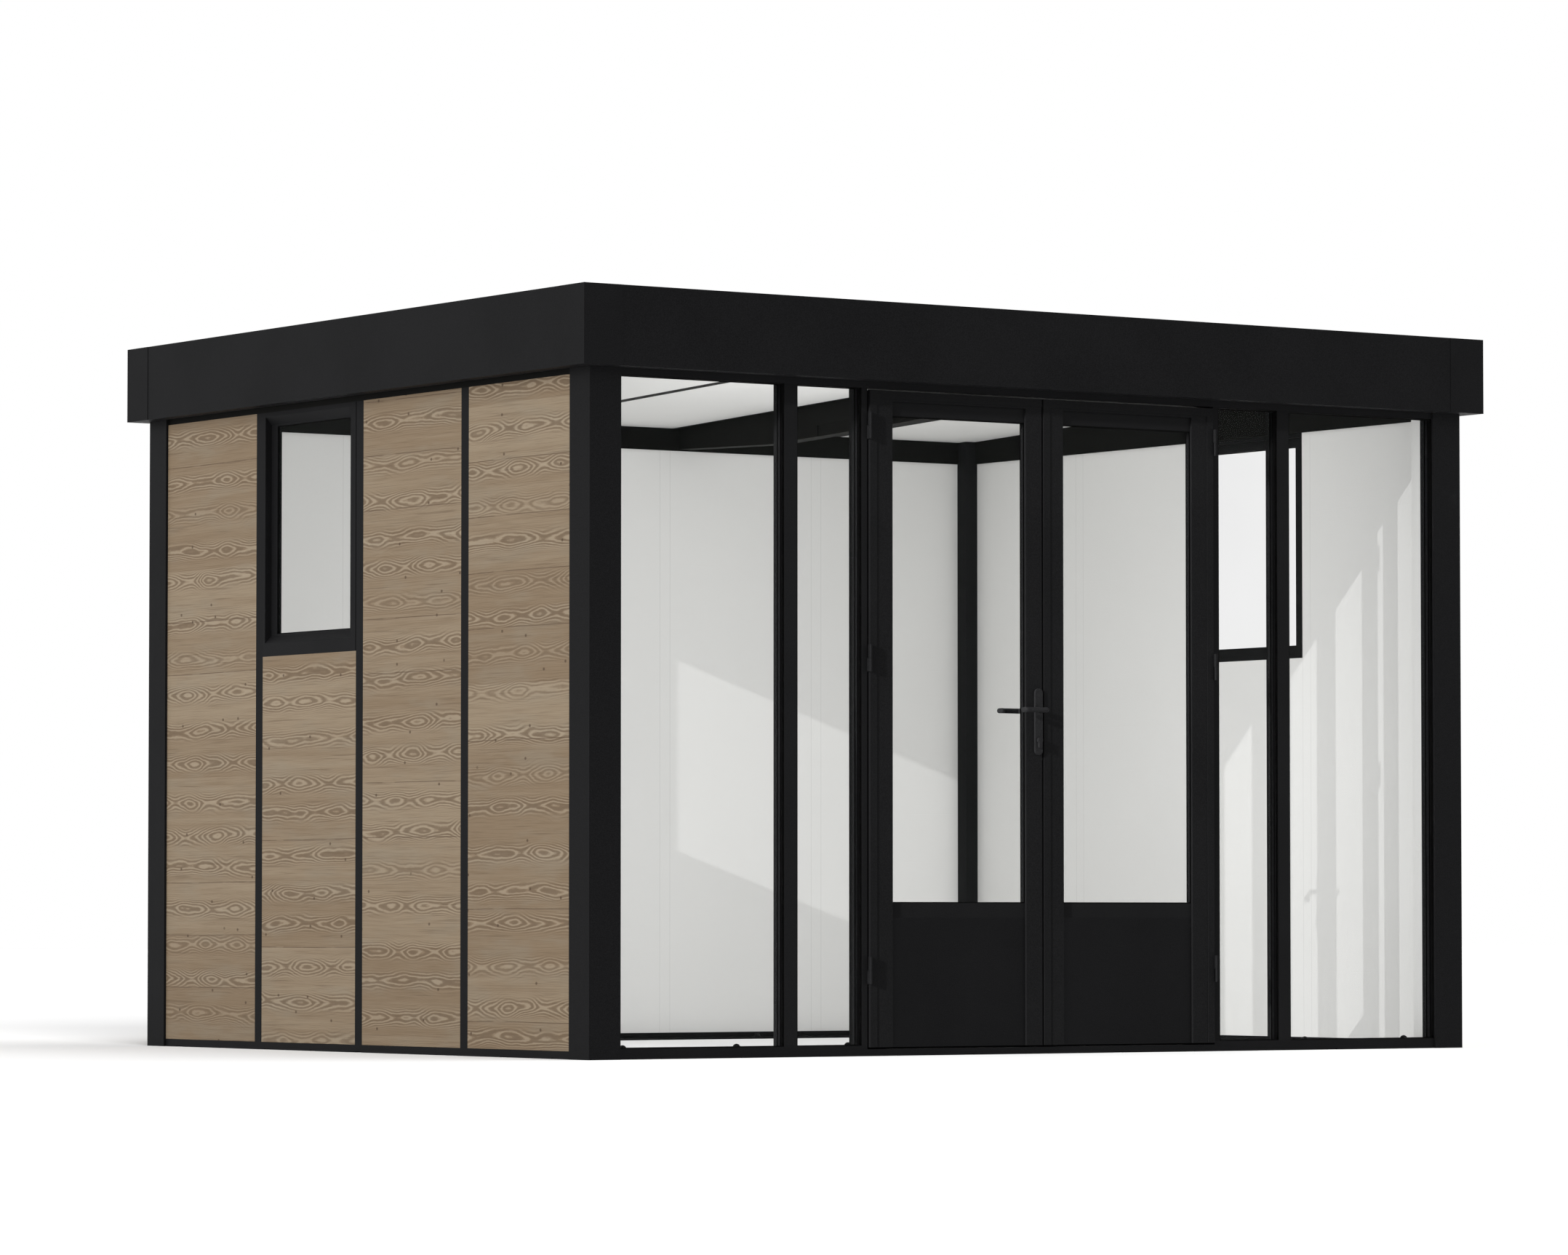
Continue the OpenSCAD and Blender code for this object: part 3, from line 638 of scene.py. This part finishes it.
# the seals: rubber strips whose near-black colour also paints the shade in the groove by the front face
seal_front = frame_low[1] + SEAL_SET
seal_back = seal_front + SEAL_DEPTH
seal_profile = [(0.0, seal_front), (SEAL_T, seal_front), (SEAL_T, seal_back), (0.0, seal_back)]
verts, faces = swept_ring(pane_rects, seal_profile, facing_front)
mesh_piece("fixed_pane_seals_and_groove_shade", verts, faces, gasket)

for side in SIDES:
    low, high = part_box(side + "_leaf_glass")
    rect = [(low[0], high[0], low[2], high[2])]
    for label, depth, outward in (("outer", low[1], -1), ("inner", high[1], 1)):
        verts, faces = swept_ring(rect, gasket_profile(depth, outward), facing_front)
        mesh_piece(side + "_leaf_gasket_" + label, verts, faces, gasket, side + "_door")

for side in SIDES:
    low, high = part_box(side + "_window_glass")
    rect = [(low[1], high[1], low[2], high[2])]
    depth, outward = (low[0], -1) if side == "left" else (high[0], 1)
    verts, faces = swept_ring(rect, gasket_profile(depth, outward), facing_side)
    mesh_piece(side + "_window_gasket", verts, faces, gasket)

# Domed anchor heads on the flanges of the base rails

def half_spacing(mount, axis):
    """Half of a mount's spacing along an axis, in metres."""
    return mount["dims"]["spacing_" + axis + "_mm"] / 2 / 1000


def anchor_profile(height):
    """Section of an anchor head: upright below, half round above."""
    dome_from = height - ANCHOR_HEAD_R
    profile = [(ANCHOR_AXIS_R, 0.0), (ANCHOR_HEAD_R, 0.0)]
    for degrees in DOME_ANGLES:
        angle = math.radians(degrees)
        profile.append((ANCHOR_HEAD_R * math.cos(angle), dome_from + ANCHOR_HEAD_R * math.sin(angle)))
    return profile


mounts = {mount["name"]: mount for mount in frame["record"]["mounts"]}
anchor_sets = [mounts["anchors_" + place] for place in ("outer", "middle", "inner")]
for label, side, height in (("front", -1, ANCHOR_HEAD_H), ("rear", 1, ANCHOR_HEAD_R)):
    centres = [(end * half_spacing(mount, "x"), side * half_spacing(mount, "y"), mount["pos_m"][2])
               for end in (-1, 1) for mount in anchor_sets]
    verts, faces = revolved(centres, anchor_profile(height), DOME_STEPS)
    mesh_piece(label + "_anchor_heads", verts, faces, satin, smooth=True)

# Stage: floor, light and camera

def floor_material():
    """White ground that still takes a soft shadow."""
    g = material_graph("studio_floor")
    tone = g.node("ShaderNodeBsdfDiffuse", {"Color": (FLOOR_TONE,) * 3})
    glow = g.node("ShaderNodeEmission", {"Color": (1.0, 1.0, 1.0), "Strength": FLOOR_GLOW})
    seen = g.node("ShaderNodeAddShader", {0: tone.outputs[0], 1: glow.outputs[0]})
    bounce = g.node("ShaderNodeBsdfDiffuse", {"Color": (FLOOR_BOUNCE,) * 3})
    choice = {0: g.seen_directly(), 1: bounce.outputs[0], 2: seen.outputs[0]}
    return g.finish(g.node("ShaderNodeMixShader", choice))


def add_floor():
    corners = [(sx * FLOOR_REACH, sy * FLOOR_REACH, 0) for sx, sy in ((-1, -1), (1, -1), (1, 1), (-1, 1))]
    mesh = bpy.data.meshes.new("floor")
    mesh.from_pydata(corners, [], [(0, 1, 2, 3)])
    floor = bpy.data.objects.new("floor", mesh)
    bpy.context.scene.collection.objects.link(floor)
    floor.data.materials.append(floor_material())
    return floor


def add_world():
    """White background, which gives less light than it shows."""
    g = Graph(bpy.data.worlds.new("studio"))
    strength = g.node("ShaderNodeMapRange", {
        "Value": g.seen_directly(), "To Min": SKY_STRENGTH, "To Max": 1.0}).outputs[0]
    background = g.node("ShaderNodeBackground", {"Color": (1.0, 1.0, 1.0), "Strength": strength})
    bpy.context.scene.world = g.finish(background, "ShaderNodeOutputWorld")


def link_lamp(lamp, receivers):
    """Put a lamp in the scene, to light only the receivers."""
    bpy.context.scene.collection.objects.link(lamp)
    group = bpy.data.collections.new(lamp.name + "_group")
    for receiver in receivers:
        group.objects.link(receiver)
    for member in group.collection_objects:
        member.light_linking.link_state = "INCLUDE"
    lamp.light_linking.receiver_collection = group


def add_sun(name, sun, receivers):
    data = bpy.data.lights.new(name, "SUN")
    data.energy = sun.strength
    data.angle = math.radians(sun.angle)
    lamp = bpy.data.objects.new(name, data)
    x, y, z = sun.direction
    lamp.rotation_euler = (math.pi / 2 - math.atan2(-z, math.hypot(x, y)), 0, math.atan2(-x, y))
    link_lamp(lamp, receivers)


def add_room_light(name, light, receivers):
    """Soft upright lamp inside the room, which doesn't show itself."""
    data = bpy.data.lights.new(name, "AREA")
    data.shape = "RECTANGLE"
    data.size, data.size_y = light.width, ROOM_LIGHT_H
    data.energy = light.power
    lamp = bpy.data.objects.new(name, data)
    lamp.location = light.place
    lamp.rotation_euler = (math.pi / 2, 0, light.turn)
    lamp.visible_camera = lamp.visible_glossy = lamp.visible_transmission = False
    link_lamp(lamp, receivers)


def nodes_of(*starts):
    """The nodes with names that start in one of these ways."""
    return [obj for node, obj in frame["nodes"].items() if node.startswith(starts)]


def add_camera():
    data = bpy.data.cameras.new("camera")
    data.sensor_width = SENSOR_W
    data.lens = FOCAL_PX * SENSOR_W / PHOTO_W_PX
    data.clip_end = CAMERA_REACH
    camera = bpy.data.objects.new("camera", data)
    camera.location = CAMERA_POS
    camera.rotation_euler = (math.radians(90 + CAMERA_PITCH), 0, math.radians(-CAMERA_YAW))
    bpy.context.scene.collection.objects.link(camera)
    bpy.context.scene.camera = camera


floor = add_floor()
add_world()

lining = nodes_of("left_wall", "right_wall", "rear_wall", "roof_panels", "corner_post_front")
right_side = nodes_of("right_wall", "right_window", "corner_post_front_right")
far_room = nodes_of("right_wall", "right_window", "rear_wall", "roof")
near_side = [obj for obj in frame["nodes"].values() if obj not in far_room]
far_side = nodes_of(
    "right_wall", "right_window_frame", "rear_wall", "fascia_right", "fascia_rear",
    "base_rail_right", "base_rail_rear", "corner_post_rear_right")
members = [frame["nodes"][node] for node in FRONT_MEMBERS]

add_sun("right_sun", RIGHT_SUN, right_side)
add_sun("frame_sun", FRAME_SUN, members)
add_sun("rear_sun", REAR_SUN, nodes_of("rear_wall"))
add_sun("side_light", SIDE_LIGHT, near_side)
add_sun("rear_light", REAR_LIGHT, far_side)
add_sun("ground_light", GROUND_LIGHT, [floor])
add_sun("top_light", TOP_LIGHT, [floor])
add_room_light("room_light", ROOM_LIGHT, lining + [floor])
add_room_light("room_fill", ROOM_FILL, lining)
add_camera()
bpy.context.scene.view_settings.view_transform = "Standard"
